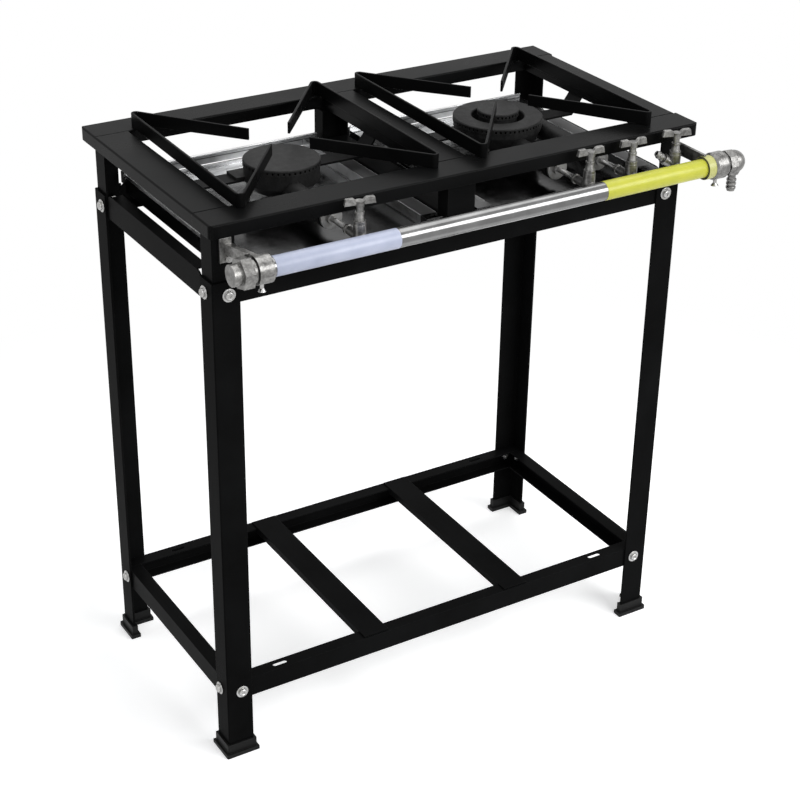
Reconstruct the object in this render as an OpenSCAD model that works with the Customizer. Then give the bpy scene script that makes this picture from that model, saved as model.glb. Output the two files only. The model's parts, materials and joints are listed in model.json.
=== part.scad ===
// Two-burner stock pot range for gas: an open stand of bolted steel angle, a folded steel top
// with two open bays, welded pan bars, cast iron burners, drip trays and a front gas manifold.
// The origin is on the floor, under the centre of the whole range's bounding box.
// +X is the user's right, -Y faces the user and +Z is up. Lengths are in millimetres.

/* [Top frame] */
// How far the top passes the right legs
top_past_x = 26; // [20:1:40]
// How far the top passes the rear legs
top_past_y = 37; // [25:1:45]
// Height of the top surface above the floor
top_h = 805; // [760:5:900]
// Width of every rail of the top
rail_w = 50; // [44:1:60]
// Depth of the folded edges of the top
lip_h = 18; // [14:1:24]
// Thickness of the folded sheet
sheet_t = 2; // [1.5:0.25:3]
// Radius of the sheet's folds
fold_r = 2.5; // [2:0.25:4]
// Radius of the outer corners of the front and rear rails
corner_r = 7; // [4:0.5:10]
// How far the front and rear rails pass the right side rail
end_step = 4; // [2:0.5:8]

/* [Stand] */
// Width over the outside of the legs
leg_span_x = 724; // [680:2:740]
// Depth over the outside of the legs
leg_span_y = 363; // [350:1:380]
// Width of a leg's front or rear flange
leg_w = 38; // [34:1:45]
// Width of a leg's side flange
leg_side_w = 34; // [32:1:45]
// Thickness of a leg
leg_t = 3; // [2:0.5:4]
// Depth of the legs' upper ends below the top surface
leg_drop = 77; // [71:1:81]
// Width of each flange of a corner post
post_w = 31; // [30:1:36]
// Thickness of a corner post
post_t = 2.5; // [2:0.5:3]
// Outside radius of the angles' corners
angle_r = 2; // [1:0.25:3]

/* [Upper frame] */
// Depth of the underside of the upper frame's rails below the top surface
frame_drop = 109; // [105:1:115]
// Height of the upper frame's rails
frame_h = 35; // [30:1:38]
// Width of the flanges of the upper frame's rails
frame_flange = 17; // [14:1:20]
// Radius of the upper corners at the ends of those rails
frame_end_r = 16; // [8:1:18]
// Width of the centre posts
centre_post_w = 42; // [36:1:46]
// Depth of the centre posts' side flanges
centre_post_d = 24; // [16:1:30]

/* [Shelf frame] */
// Height of the underside of the shelf frame
shelf_z = 90; // [60:5:160]
// Height of the shelf rails
shelf_h = 30; // [26:1:38]
// Width of the shelf rails' flanges
shelf_flange = 20; // [16:1:26]
// Width of a shelf slat
slat_w = 40; // [30:1:50]
// Depth of a slat's folded edges
slat_lip = 9; // [6:1:14]
// Length of the oblong slots in the shelf rails
slot_l = 22; // [16:1:30]
// Width of the oblong slots in the shelf rails
slot_w = 7; // [5:0.5:9]
// Distance from the outside of a leg to the nearest slot's centre
slot_inset = 89; // [75:1:110]

/* [Feet] */
// Height of a foot cap
cap_h = 20; // [14:1:30]
// Wall of a foot cap
cap_wall = 3; // [2:0.5:4]
// Thickness of a foot cap under the leg
cap_floor = 4; // [3:0.5:6]
// How far a foot cap's toe spreads past its wall
cap_toe = 3; // [1:0.5:4]

/* [Bolts] */
// Diameter of the leg bolts
bolt_d = 6; // [5:0.5:8]
// Distance from a leg's outer corner to its bolts
bolt_inset = 22.5; // [19:0.5:24]
// Depth of the upper bolts below the top surface
bolt_drop = 95; // [91:1:99]
// Diameter of the washers
washer_d = 18; // [15:1:20]

/* [Pan bars] */
// Height of a pan bar
bar_h = 19; // [14:1:24]
// Thickness of a pan bar
bar_t = 4; // [3:0.5:7]
// Gap between a bay's side edge and its side bar
bar_inset = 10; // [5:1:16]
// How far a side bar reaches over the front and rear rails
bar_reach = 18; // [12:1:26]
// Inside radius of the bar's bends
bar_bend = 8; // [6:1:14]
// Half the distance between facing bar tips, left to right
tip_gap_x = 28; // [20:1:45]
// Half the distance between facing bar tips, front to back
tip_gap_y = 34; // [24:1:50]
// How far the lower edge of a bar's finger rises towards its tip
finger_rise = 3; // [1:0.5:6]

/* [Drip trays] */
// Gap between the two drip trays
tray_gap = 54; // [48:1:70]
// Room left behind each drip tray, before the rear rail
tray_short = 15; // [9:1:40]
// Width of a tray's flat side rims
tray_rim = 22; // [16:1:28]
// Depth of the hem at the outer edge of a rim
tray_hem = 5; // [3:0.5:8]
// Thickness of the tray's sheet
tray_t = 1.2; // [0.8:0.1:1.6]
// Height of the lips at the tray's front and back
tray_end_lip = 6; // [4:0.5:7]
// Height of a tray runner
runner_h = 26; // [20:1:30]
// Width of a tray runner's flange
runner_w = 17; // [12:1:20]
// Thickness of a tray runner
runner_t = 1.5; // [1:0.25:2]
// Height of the runners' top above the upper frame's rails
runner_rise = 16; // [15:0.5:18]

/* [Burners] */
// Diameter of the single burner's cap
single_d = 105; // [96:1:120]
// How far the single burner stands to the right of its bay's centre
single_shift = 3; // [1:0.5:6]
// Diameter of the double burner's ring
double_d = 128; // [116:1:132]
// Diameter of the hole in the double burner's ring
ring_hole_d = 75; // [72:1:80]
// Diameter of the double burner's inner cap
inner_d = 59; // [54:1:62]
// Depth of the burner tops below the top surface
burner_drop = 16; // [14:1:18]
// How far the inner cap stands above the ring
inner_rise = 9; // [4:0.5:10]
// Thickness of a burner cap above its ports
cap_plate = 3; // [2.5:0.5:5]
// Height of a burner cap's skirt, which holds the ports
cap_skirt = 5; // [4.5:0.5:6]
// Width of a flame port
port_w = 2.6; // [1.5:0.1:4]
// Height of a flame port
port_h = 3.6; // [2:0.1:4]
// Depth of a burner's bowl
bowl_h = 33; // [28:1:36]
// Outside diameter of a venturi tube
venturi_d = 28; // [24:1:30]
// Bore of a venturi tube
venturi_bore = 20; // [16:1:22]
// Diameter of a venturi's mouth
mouth_d = 33; // [31:1:36]
// Diameter of an air shutter
shutter_d = 31; // [28:1:33]
// Travel of an air shutter along its injector
shutter_travel = 5; // [3:0.5:8]
// Width of a burner hanger
hanger_w = 30; // [20:1:32]
// Thickness of a burner hanger
hanger_t = 3; // [2:0.5:4]

/* [Gas manifold] */
// Outside diameter of the manifold pipe
pipe_d = 25.4; // [22:0.2:28]
// Wall of the manifold pipe
pipe_wall = 2; // [1.5:0.25:3]
// Distance from the front of the legs to the pipe's axis
pipe_reach = 50.4; // [48:0.2:60]
// Height of the pipe's axis below the top surface
pipe_drop = 44.5; // [43:0.5:48]
// Distance from the front of the legs to the valve stems
valve_reach = 22.4; // [22:0.2:24]
// Length of a valve handle over its wings
handle_l = 42; // [34:0.5:43]
// Height of a valve handle's wings
wing_h = 9; // [8:0.5:14]
// Thickness of a valve handle's wings
wing_t = 5; // [3:0.5:6]
// Diameter of a valve stem
stem_d = 9.5; // [8:0.5:12]
// Width of the end plug's hexagon across its flats
plug_hex = 37; // [34:1:40]
// Diameter of the left bracket's ring
left_ring_d = 36.5; // [33:0.5:40]
// Diameter of the right bracket's barrel
right_ring_d = 38; // [34:0.5:42]
// Diameter of the hose tail on the inlet elbow
tail_d = 14; // [12:0.5:18]
// Diameter of the hose tail on the auxiliary valve
aux_tail_d = 11; // [9:0.5:12]

/* [Hidden] */
$fn = 48;

// Colours
black_paint = "#1c1c1d";
cast_black = "#2a2a2b";
zinc = "#b9bbbd";
galvanised = "#a9adb0";
polished = "#cfd2d4";
cast_grey = "#9c9a94";
black_plastic = "#111112";

// Clearances, overruns and small radii
over = 1;
rest_gap = 0.3;
fit_gap = 0.05;
hole_gap = 0.25;
slip_gap = 0.1;

// Right end of the gas line, which sets the bounding box and so the origin
strap_t = 4;
right_ring_x = leg_span_x - leg_t + strap_t;
right_ring_l = 32;
elbow_gap = 1;
elbow_r = 16;
tail_x_shift = 17;

// Corners of the leg frame and heights that follow from the driving sizes
top_w = leg_span_x + top_past_x;
top_d = leg_span_y + top_past_y;
past_left = cap_wall + cap_toe;
past_right = right_ring_x + right_ring_l + elbow_gap + tail_x_shift + elbow_r;
past_front = pipe_reach + right_ring_d / 2;
xl = (past_left - past_right) / 2;
xr = xl + leg_span_x;
yf = (past_front - top_d) / 2;
yr = yf + leg_span_y;
under_top = top_h - sheet_t;
lip_z = top_h - lip_h;
frame_z = top_h - frame_drop;
frame_top = frame_z + frame_h;
leg_top = top_h - leg_drop;
bolt_z_high = top_h - bolt_drop;
pipe_z = top_h - pipe_drop;
shelf_top = shelf_z + shelf_h;
shelf_bolt_z = shelf_z + shelf_h / 2;
bay_w = (top_w - 3 * rail_w) / 2;
bay_d = top_d - 2 * rail_w;
left_bay_x = xl + rail_w + bay_w / 2;
right_bay_x = left_bay_x + bay_w + rail_w;
bay_y = yf + rail_w + bay_d / 2;

// Frame parts
frame_t = 2;
shelf_t = 2;
slat_t = 2;
slat_margin = 2;
slat_shares = [1 / 3, 2 / 3];
post_foot = 4;

// Foot cap parts
cap_groove = 0.2;
toe_h = 6;

// Bolt parts
washer_t = 1.5;
head_d = 12;
head_h = 4.2;
nut_af = 10;
nut_h = 5;
shank_past = 2.5;

// Tray parts
runner_top = frame_top + runner_rise;
tray_floor = frame_top + rest_gap;
tray_rim_z = runner_top + rest_gap;
tray_front = yf + leg_t + frame_t;
tray_side = leg_t + post_w + 2;
tray_w = (leg_span_x - 2 * tray_side - tray_gap) / 2;
tray_d = leg_span_y - 2 * (leg_t + frame_t) - tray_short;
left_tray_x = xl + tray_side;
right_tray_x = xr - tray_side - tray_w;

// Burner parts
single_x = left_bay_x + single_shift;
burner_top = top_h - burner_drop;
cap_z = burner_top - cap_plate - cap_skirt;
rim_z = cap_z - rest_gap;
bowl_z = rim_z - bowl_h;
bowl_wall = 5;
bowl_floor = 3;
bowl_inset = 1;
single_foot = 40;
single_waist = 13;
double_foot = 51;
double_waist = 26;
spigot_w = 2.5;
spigot_h = 3;
single_ports = 44;
ring_ports = 60;
inner_ports = 32;
cap_bevel = 1.2;
venturi_sink = 1.5;
venturi_z = pipe_z - venturi_sink;
mouth_back = 56;
mouth_y = yf + mouth_back;
mouth_l = 7;
cup_wall = 4;
cup_inset = 2;
cup_d = inner_d - 2 * cup_inset;
inlet_open = 12;
rib_w = 5;
throat_w = 22;
throat_h = 17;
throat_wall = 4;
hanger_front = 8;
hanger_lift = 17;
hanger_z = bowl_z + hanger_lift;
hanger_slope = 54;
ear_h = 4;
ear_reach = 12;
injector_d = 8;
injector_tip_d = 5;
injector_tip_l = 4;
shutter_t = 3.5;
hub_d = 15;
hub_l = 8;
shutter_gap = 4;

// Manifold parts, with places measured from the outside of the left legs
pipe_y = yf - pipe_reach;
pipe_r = pipe_d / 2;
plug_face_x = 1;
plug_boss_l = 11;
plug_boss_d = 28;
plug_hex_l = 14;
plug_neck_l = 5;
plug_neck_d = 31;
plug_hex_turn = 15;
plug_bore_l = 20;
left_ring_x = 32.5;
left_ring_l = 20;
plate_x = 12;
plate_w = 16;
plate_h = 32;
plate_t = 3.5;
arm_h = 14;
arm_w = 9;
arm_shift = 13;
right_neck_l = 8;
right_neck_d = 32;
ring_bulge = 2.5;
strap_h = 17;
strap_back = 27;
screw_d = 5;
screw_head_d = 11;
screw_head_h = 4;
screw_drop = 10.5;
bracket_bolt_d = 5;
bracket_head_d = 9;
bracket_head_h = 3;
elbow_hex = 34;
elbow_hex_l = 12;
tail_l = 25;
tail_neck_d = 17;
tail_land = 2;
tail_step = 1.5;

// Valve parts
valve_y = yf - valve_reach;
valve_offsets = [-5.5, -2, 68.5];
aux_from_leg = 31;
valve_x = [
    left_bay_x + valve_offsets[0],
    right_bay_x + valve_offsets[1],
    right_bay_x + valve_offsets[2],
    xr - aux_from_leg
];
valve_turns = [0, 0, 0, 78];
valve_tilts = [0, 0, 0, 38];
handle_turns = [-9, -2, -3, -15];
outlet_lengths = [31, 31, 31, 17];
barrel_d = 14;
outlet_d = 12;
outlet_wall_d = 13.5;
column_d = 16.5;
column_h = 18.5;
collar_d = 15.5;
collar_h = 4.5;
plug_depth = 14;
stem_neck_h = 21.5;
stem_foot_h = 8;
stem_foot_d = stem_d + 3.5;
bead_d = stem_d + 2.5;
bead_h = 3;
bead_z = 8.5;
top_bead_h = 2.5;
hub_rise = 5;
aux_l = 36;
aux_plug_l = 5;
aux_collar_d = 15;
aux_collar_l = 5;
aux_bore_d = 5;

// Angle of unequal or equal flanges, along +X and +Y, outer corner at the origin
module angle_2d(a, b, t) {
    difference() {
        union() {
            translate([angle_r, 0])
                square([a - angle_r, b]);
            translate([0, angle_r])
                square([a, b - angle_r]);
            translate([angle_r, angle_r])
                circle(angle_r);
        }
        translate([t, t])
            square([a, b]);
    }
}

// Channel of width w and depth d, web along the top, folds rounded outside
module channel_2d(w, d, t) {
    difference() {
        folded_block_2d(w, d);
        translate([t, -over])
            square([w - 2 * t, d - t + over]);
    }
}

// Solid outline of a folded strip: square below, rounded at both upper corners
module folded_block_2d(w, d) {
    square([w, d - fold_r]);
    translate([fold_r, 0])
        square([w - 2 * fold_r, d]);
    for (x = [fold_r, w - fold_r])
        translate([x, d - fold_r])
            circle(fold_r);
}

// Places a corner piece whose flanges run along its own +X and +Y
module at_corner(right, rear) {
    translate([right ? xr : xl, rear ? yr : yf, 0])
        mirror([right ? 1 : 0, 0, 0])
            mirror([0, rear ? 1 : 0, 0])
                children();
}

// Places a rail: own +X along the side, own +Y inwards, from the corner of the leg frame
module on_front() {
    translate([xl, yf, 0])
        children();
}

module on_rear() {
    translate([xr, yr, 0])
        rotate([0, 0, 180])
            children();
}

module on_left() {
    translate([xl, yr, 0])
        rotate([0, 0, -90])
            children();
}

module on_right() {
    translate([xr, yf, 0])
        rotate([0, 0, 90])
            children();
}

// Cylinder along +Y
module rod_y(d, l) {
    rotate([-90, 0, 0])
        cylinder(d = d, h = l);
}

// Cylinder along +X
module rod_x(d, l) {
    rotate([0, 90, 0])
        cylinder(d = d, h = l);
}

// Front or rear rail of the top: a pan folded down all round, outer edge along own y = 0
module top_long_rail() {
    translate([0, 0, lip_z])
        difference() {
            intersection() {
                linear_extrude(lip_h)
                    rail_plan();
                translate([0, rail_w, 0])
                    rotate([90, 0, 0])
                        linear_extrude(rail_w)
                            folded_block_2d(top_w, lip_h);
                rotate([90, 0, 90])
                    linear_extrude(top_w)
                        folded_block_2d(rail_w, lip_h);
            }
            translate([sheet_t, sheet_t, -over])
                cube([top_w - 2 * sheet_t, rail_w - 2 * sheet_t, lip_h - sheet_t + over]);
            // The inner lip runs only along the bays
            translate([sheet_t, sheet_t, -over])
                cube([rail_w - sheet_t, rail_w, lip_h - sheet_t + over]);
            translate([top_w - rail_w, sheet_t, -over])
                cube([rail_w - sheet_t, rail_w, lip_h - sheet_t + over]);
        }
}

module rail_plan() {
    translate([0, corner_r])
        square([top_w, rail_w - corner_r]);
    translate([corner_r, 0])
        square([top_w - 2 * corner_r, rail_w]);
    for (x = [corner_r, top_w - corner_r])
        translate([x, corner_r])
            circle(corner_r);
}

// Short rail of the top, from the front rail to the rear one
module top_short_rail(x, w) {
    translate([x, yf + rail_w + bay_d, lip_z])
        rotate([90, 0, 0])
            linear_extrude(bay_d)
                channel_2d(w, lip_h, sheet_t);
}

module top_front_rail() {
    color(black_paint)
        translate([xl, yf, 0])
            top_long_rail();
}

module top_rear_rail() {
    color(black_paint)
        translate([xl, yf + top_d, 0])
            mirror([0, 1, 0])
                top_long_rail();
}

module top_left_rail() {
    color(black_paint)
        top_short_rail(xl, rail_w);
}

module top_centre_rail() {
    color(black_paint)
        top_short_rail(xl + rail_w + bay_w, rail_w);
}

module top_right_rail() {
    color(black_paint)
        top_short_rail(xl + 2 * rail_w + 2 * bay_w, rail_w - end_step);
}

// Corner post: an angle that hangs from the top inside its leg
module post() {
    color(black_paint)
        difference() {
            translate([leg_t, leg_t, frame_z - post_foot])
                linear_extrude(under_top - frame_z + post_foot)
                    angle_2d(post_w, post_w, post_t);
            bolt_holes(bolt_z_high);
        }
}

// Holes for the two bolts of one corner at height z
module bolt_holes(z) {
    translate([bolt_inset, -over, z])
        rod_y(bolt_d + 2 * hole_gap, leg_w);
    translate([-over, bolt_inset, z])
        rod_x(bolt_d + 2 * hole_gap, leg_w);
}

module post_front_left() at_corner(false, false) post();
module post_front_right() at_corner(true, false) post();
module post_rear_left() at_corner(false, true) post();
module post_rear_right() at_corner(true, true) post();

// Centre post: a channel standing on the upper frame, its flanges kept below the top's lips
module centre_post() {
    color(black_paint)
        translate([(leg_span_x - centre_post_w) / 2, leg_t, frame_top]) {
            cube([centre_post_w, frame_t, under_top - frame_top]);
            for (x = [0, centre_post_w - frame_t])
                translate([x, 0, 0])
                    cube([frame_t, centre_post_d, lip_z - rest_gap - frame_top]);
        }
}

module centre_post_front() on_front() centre_post();
module centre_post_rear() on_rear() centre_post();

// Pan bar: a flat bar on edge beside a bay, both ends bent in towards the burner.
// Drawn for the left side of a bay, about the bay's centre.
bar_r = bar_bend + bar_t / 2;
bar_x = -bay_w / 2 + bar_inset + bar_t / 2;
bend_x = bar_x + bar_r;
bend_y = bay_d / 2 + bar_reach - bar_r;
tip_dx = -tip_gap_x - bend_x;
tip_dy = tip_gap_y - bend_y;
tip_far = sqrt(tip_dx * tip_dx + tip_dy * tip_dy);
finger_dir = atan2(tip_dy, tip_dx) - asin(bar_r / tip_far);
finger_l = sqrt(tip_far * tip_far - bar_r * bar_r);
bend_turn = 90 - finger_dir;
bend_grow = 0.05;
bend_lap = 0.6;

module pan_bar() {
    color(black_paint)
        translate([0, 0, top_h]) {
            translate([bar_x - bar_t / 2, -bend_y - bend_lap, 0])
                cube([bar_t, 2 * (bend_y + bend_lap), bar_h]);
            for (side = [0, 1])
                mirror([0, side, 0])
                    pan_bar_end();
        }
}

// One bend of a pan bar and the finger after it
module pan_bar_end() {
    translate([bend_x, bend_y, 0]) {
        rotate([0, 0, 180 - bend_turn])
            rotate_extrude(angle = bend_turn)
                translate([bar_r - bar_t / 2 - bend_grow, 0])
                    square([bar_t + 2 * bend_grow, bar_h]);
        rotate([0, 0, finger_dir])
            translate([0, bar_r + bar_t / 2, 0])
                rotate([90, 0, 0])
                    linear_extrude(bar_t)
                        polygon([
                            [-bend_lap, 0],
                            [bend_lap, 0],
                            [finger_l, finger_rise],
                            [finger_l, bar_h],
                            [-bend_lap, bar_h]
                        ]);
    }
}

module in_bay(x, flip) {
    translate([x, bay_y, 0])
        mirror([flip ? 1 : 0, 0, 0])
            children();
}

module left_bay_left_bar() in_bay(left_bay_x, false) pan_bar();
module left_bay_right_bar() in_bay(left_bay_x, true) pan_bar();
module right_bay_left_bar() in_bay(right_bay_x, false) pan_bar();
module right_bay_right_bar() in_bay(right_bay_x, true) pan_bar();

// Tray runner: an angle across the upper frame, notched at both ends to stand on its rails
runner_l = leg_span_y - 2 * (leg_t + frame_t);
runner_notch = frame_flange - frame_t + rest_gap;

module runner() {
    translate([0, tray_front, 0]) {
        rotate([90, 0, 90])
            linear_extrude(runner_t)
                polygon([
                    [0, frame_top],
                    [runner_notch, frame_top],
                    [runner_notch, runner_top - runner_h],
                    [runner_l - runner_notch, runner_top - runner_h],
                    [runner_l - runner_notch, frame_top],
                    [runner_l, frame_top],
                    [runner_l, runner_top],
                    [0, runner_top]
                ]);
        translate([0, 0, runner_top - runner_t])
            cube([runner_w, runner_l, runner_t]);
    }
}

runner_in = tray_t + rest_gap;

module tray_runners() {
    color(black_paint)
        for (x = [left_tray_x, right_tray_x]) {
            translate([x + runner_in, 0, 0])
                runner();
            translate([x + tray_w - runner_in, 0, 0])
                mirror([1, 0, 0])
                    runner();
        }
}

// Drip tray: a folded pan hung by its side rims, low at the front and back
module drip_tray(x) {
    wall_h = tray_rim_z + tray_t - tray_floor;
    pan_w = tray_w - 2 * tray_rim;
    color(galvanised)
        translate([x, tray_front + rest_gap, tray_floor]) {
            translate([0, tray_d, 0])
                rotate([90, 0, 0])
                    linear_extrude(tray_d)
                        tray_section(wall_h, pan_w);
            for (y = [0, tray_d - tray_t])
                translate([tray_rim, y, 0])
                    cube([pan_w, tray_t, tray_end_lip]);
        }
}

module tray_section(wall_h, pan_w) {
    translate([tray_rim, 0])
        square([pan_w, tray_t]);
    for (side = [0, 1])
        translate([side * tray_w, 0])
            mirror([side, 0]) {
                translate([tray_rim, 0])
                    square([tray_t, wall_h]);
                translate([0, wall_h - tray_t])
                    square([tray_rim + tray_t, tray_t]);
                translate([0, wall_h - tray_hem])
                    square([tray_t, tray_hem]);
            }
}

module left_drip_tray() drip_tray(left_tray_x);
module right_drip_tray() drip_tray(right_tray_x);

// Upper frame rail between two corner posts, upper end corners rounded
module frame_rail(span) {
    l = span - 2 * (leg_t + post_w);
    color(black_paint)
        translate([leg_t + post_w, leg_t, frame_z]) {
            translate([0, frame_t, 0])
                rotate([90, 0, 0])
                    linear_extrude(frame_t)
                        frame_web(l);
            cube([l, frame_flange, frame_t]);
            translate([frame_end_r, 0, frame_h - frame_t])
                cube([l - 2 * frame_end_r, frame_flange, frame_t]);
        }
}

module frame_web(l) {
    square([l, frame_h - frame_end_r]);
    translate([frame_end_r, 0])
        square([l - 2 * frame_end_r, frame_h]);
    for (x = [frame_end_r, l - frame_end_r])
        translate([x, frame_h - frame_end_r])
            circle(frame_end_r);
}

module frame_front_rail() on_front() frame_rail(leg_span_x);
module frame_rear_rail() on_rear() frame_rail(leg_span_x);
module frame_left_rail() on_left() frame_rail(leg_span_y);
module frame_right_rail() on_right() frame_rail(leg_span_y);

// Leg: an angle from its foot cap to just above the upper bolts
module leg() {
    color(black_paint)
        difference() {
            translate([0, 0, cap_floor])
                linear_extrude(leg_top - cap_floor)
                    angle_2d(leg_w, leg_side_w, leg_t);
            bolt_holes(bolt_z_high);
            bolt_holes(shelf_bolt_z);
        }
}

module leg_front_left() at_corner(false, false) leg();
module leg_front_right() at_corner(true, false) leg();
module leg_rear_left() at_corner(false, true) leg();
module leg_rear_right() at_corner(true, true) leg();

// Foot cap: an L-shaped boot on the end of a leg, spread at the toe
module foot_cap() {
    difference() {
        union() {
            boot(cap_wall, cap_h);
            boot(cap_wall + cap_toe, toe_h);
        }
        translate([-cap_groove, -cap_groove, cap_floor])
            linear_extrude(cap_h)
                grown_leg_2d(cap_groove);
    }
}

// Leg section grown by g all round, h high
module boot(g, h) {
    translate([-g, -g, 0])
        linear_extrude(h)
            grown_leg_2d(g);
}

module grown_leg_2d(g) {
    angle_2d(leg_w + 2 * g, leg_side_w + 2 * g, leg_t + 2 * g);
}

module foot_caps() {
    color(black_plastic)
        for (right = [false, true], rear = [false, true])
            at_corner(right, rear)
                foot_cap();
}

// Shelf rail: a channel with its web outside. The long rails pass in front of the side rails.
module shelf_web(start, l) {
    translate([start, leg_t, shelf_z])
        cube([l, shelf_t, shelf_h]);
}

module shelf_flanges(start, l) {
    for (z = [shelf_z, shelf_top - shelf_t])
        translate([start, leg_t, z])
            cube([l, shelf_flange, shelf_t]);
}

module shelf_bolt_holes(span) {
    for (x = [bolt_inset, span - bolt_inset])
        translate([x, 0, shelf_bolt_z])
            rod_y(bolt_d + 2 * hole_gap, leg_t + shelf_flange / 2);
}

// Oblong slot through the upper flange, centred on the origin
module oblong() {
    straight = slot_l - slot_w;
    translate([-straight / 2, -slot_w / 2, 0])
        cube([straight, slot_w, shelf_t + 2 * over]);
    for (x = [-straight / 2, straight / 2])
        translate([x, 0, 0])
            cylinder(d = slot_w, h = shelf_t + 2 * over);
}

module shelf_long_rail() {
    end = leg_t + shelf_t;
    l = leg_span_x - 2 * end;
    slot_y = leg_t + (shelf_flange + shelf_t) / 2;
    color(black_paint)
        difference() {
            union() {
                shelf_web(end, l);
                shelf_flanges(end, l);
            }
            shelf_bolt_holes(leg_span_x);
            for (x = [slot_inset, leg_span_x - slot_inset])
                translate([x, slot_y, shelf_top - shelf_t - over])
                    oblong();
        }
}

module shelf_side_rail() {
    inner = leg_t + shelf_flange;
    color(black_paint)
        difference() {
            union() {
                shelf_web(leg_t, leg_span_y - 2 * leg_t);
                shelf_flanges(inner, leg_span_y - 2 * inner);
            }
            shelf_bolt_holes(leg_span_y);
        }
}

module shelf_front_rail() on_front() shelf_long_rail();
module shelf_rear_rail() on_rear() shelf_long_rail();
module shelf_left_rail() on_left() shelf_side_rail();
module shelf_right_rail() on_right() shelf_side_rail();

// Shelf slat: a strip laid across the long rails, its edges folded down between them
module slat(share) {
    full = leg_span_y - 2 * (leg_t + slat_margin);
    clear = leg_span_y - 2 * (leg_t + shelf_flange + rest_gap);
    color(black_paint)
        translate([xl + share * leg_span_x - slat_w / 2, (yf + yr) / 2, shelf_top]) {
            translate([0, -full / 2, 0])
                cube([slat_w, full, slat_t]);
            for (x = [0, slat_w - slat_t])
                translate([x, -clear / 2, -slat_lip])
                    cube([slat_t, clear, slat_lip]);
        }
}

module shelf_slat_left() slat(slat_shares[0]);
module shelf_slat_right() slat(slat_shares[1]);

// Bolt along +Y from outside a leg at y = 0: washer, round head and shank
module bolt(grip) {
    translate([0, -washer_t, 0])
        rod_y(washer_d, washer_t);
    translate([0, -washer_t - head_h, 0])
        rod_y(head_d - head_h / 2, head_h / 2);
    translate([0, -washer_t - head_h / 2, 0])
        rod_y(head_d, head_h / 2);
    translate([0, -washer_t, 0])
        rod_y(bolt_d, washer_t + grip + nut_h + shank_past);
}

module nut(grip) {
    translate([0, grip, 0])
        difference() {
            rotate([-90, 0, 0])
                cylinder(d = nut_af / cos(30), h = nut_h, $fn = 6);
            translate([0, -over, 0])
                rod_y(bolt_d + 2 * slip_gap, nut_h + 2 * over);
        }
}

// The two bolt places of every corner, at both heights
module at_bolts(high) {
    for (right = [false, true], rear = [false, true])
        at_corner(right, rear) {
            translate([bolt_inset, 0, high ? bolt_z_high : shelf_bolt_z])
                children();
            mirror([1, -1, 0])
                translate([bolt_inset, 0, high ? bolt_z_high : shelf_bolt_z])
                    children();
        }
}

module leg_bolts() {
    color(zinc) {
        at_bolts(true)
            bolt(leg_t + post_t);
        at_bolts(false)
            bolt(leg_t + shelf_t);
    }
}

module leg_nuts() {
    color(zinc) {
        at_bolts(true)
            nut(leg_t + post_t);
        at_bolts(false)
            nut(leg_t + shelf_t);
    }
}

// Burner hangers: two flat bars under a burner's ears, bent up to the underside of the rails
module hangers(x, shift, r) {
    end = bay_w / 2 + sheet_t;
    bend = end - (lip_z - rest_gap - hanger_z) / tan(hanger_slope);
    rise = under_top - hanger_z;
    run = rise / tan(hanger_slope);
    fold = hanger_t * tan(hanger_slope / 2);
    color(black_paint)
        for (side = [0, 1]) {
            start = r + slip_gap + (1 - 2 * side) * shift;
            translate([x, bay_y + hanger_front + hanger_w, hanger_z])
                mirror([side, 0, 0])
                    rotate([90, 0, 0])
                        linear_extrude(hanger_w)
                            polygon([
                                [start, 0],
                                [bend, 0],
                                [bend + run, rise],
                                [bend + run + hanger_t / sin(hanger_slope), rise],
                                [bend + fold, -hanger_t],
                                [start, -hanger_t]
                            ]);
        }
}

module single_burner_hangers() hangers(left_bay_x, single_shift, single_bowl_r);
module double_burner_hangers() hangers(right_bay_x, 0, double_bowl_r);

// Ears that rest on the hangers, drawn as one bar through the bowl
module ears(r) {
    translate([-r - ear_reach, hanger_front, hanger_z])
        cube([2 * (r + ear_reach), hanger_w, ear_h]);
}

// Venturi tube along +Y from its mouth, centred on the gas line's height
module venturi(x, l) {
    translate([x, mouth_y, venturi_z]) {
        rod_y(mouth_d, mouth_l);
        translate([0, mouth_l / 2, 0])
            rod_y(venturi_d, l - mouth_l / 2);
    }
}

module venturi_hollow(x, l) {
    translate([x, mouth_y - over, venturi_z])
        rod_y(venturi_bore, l + over);
}

// Solid bowl of radius r that narrows to the foot radius over its lowest part
module bowl_solid(r, foot, waist) {
    rotate_extrude($fn = 72)
        polygon([
            [0, bowl_z],
            [foot, bowl_z],
            [r, bowl_z + waist],
            [r, rim_z],
            [0, rim_z]
        ]);
}

// Space inside a bowl, from radius inner to the wall
module bowl_space(inner, r, foot, waist) {
    rotate_extrude($fn = 72)
        polygon([
            [inner, bowl_z + bowl_floor],
            [foot - bowl_wall, bowl_z + bowl_floor],
            [r - bowl_wall, bowl_z + waist],
            [r - bowl_wall, rim_z + over],
            [inner, rim_z + over]
        ]);
}

single_bowl_r = single_d / 2 - bowl_inset;
venturi_run = bay_y - mouth_y;

module single_burner_body() {
    color(cast_black)
        difference() {
            union() {
                translate([single_x, bay_y, 0]) {
                    bowl_solid(single_bowl_r, single_foot, single_waist);
                    ears(single_bowl_r);
                }
                venturi(valve_x[0], venturi_run);
            }
            translate([single_x, bay_y, 0])
                bowl_space(0, single_bowl_r, single_foot, single_waist);
            venturi_hollow(valve_x[0], venturi_run - single_foot + bowl_wall + inlet_open);
        }
}

// Flame ports: slots through a cap's skirt from radius inner outwards, right under its plate
module port_slots(inner, r, count) {
    for (i = [0 : count - 1])
        rotate([0, 0, i * 360 / count])
            translate([inner, -port_w / 2, cap_z + cap_skirt - port_h])
                cube([r + over - inner, port_w, port_h]);
}

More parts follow.
